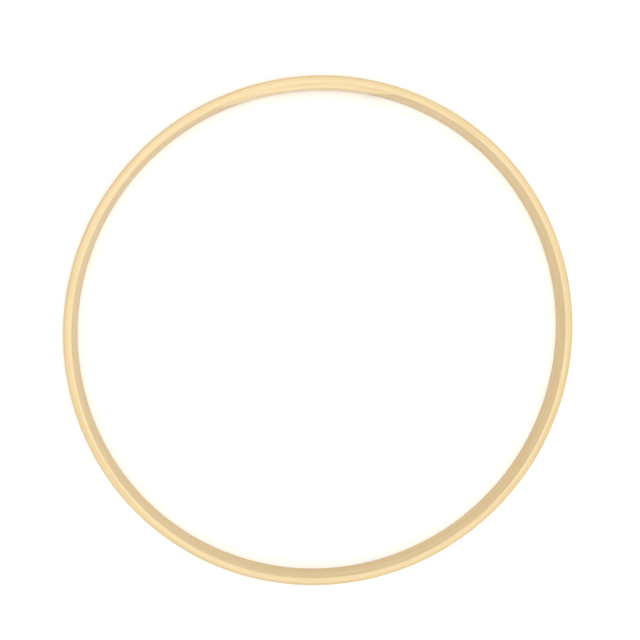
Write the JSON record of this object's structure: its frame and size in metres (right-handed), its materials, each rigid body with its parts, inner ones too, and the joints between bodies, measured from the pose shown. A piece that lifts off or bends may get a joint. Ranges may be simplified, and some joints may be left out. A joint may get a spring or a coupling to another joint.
{
  "type": "rhythmic gymnastics hoop",
  "caption": "Flat-strip wooden gymnastics hoop, modelled as glued veneers with scarfed ends under a tapered splice strip on its inside.",
  "frame": {"origin": "on the hoop's axis, in the plane of the face it lies on", "axes": "+Z along the hoop's axis, up from the floor; +Y from the axis towards the splice strip; +X to the right"},
  "size_m": [0.7246, 0.7246, 0.028],
  "materials": {
    "inner_veneer": "satin",
    "core_veneer_warm": "satin",
    "core_veneer_pale": "satin",
    "outer_veneer": "satin",
    "splice_wood": "satin"
  },
  "bodies": {
    "root": {"inner_ply": "inner_veneer", "core_ply_1": "core_veneer_warm", "core_ply_2": "core_veneer_pale", "core_ply_3": "core_veneer_warm", "core_ply_4": "core_veneer_pale", "core_ply_5": "core_veneer_warm", "outer_ply": "outer_veneer", "splice_strip": "splice_wood"}
  },
  "joints": []
}
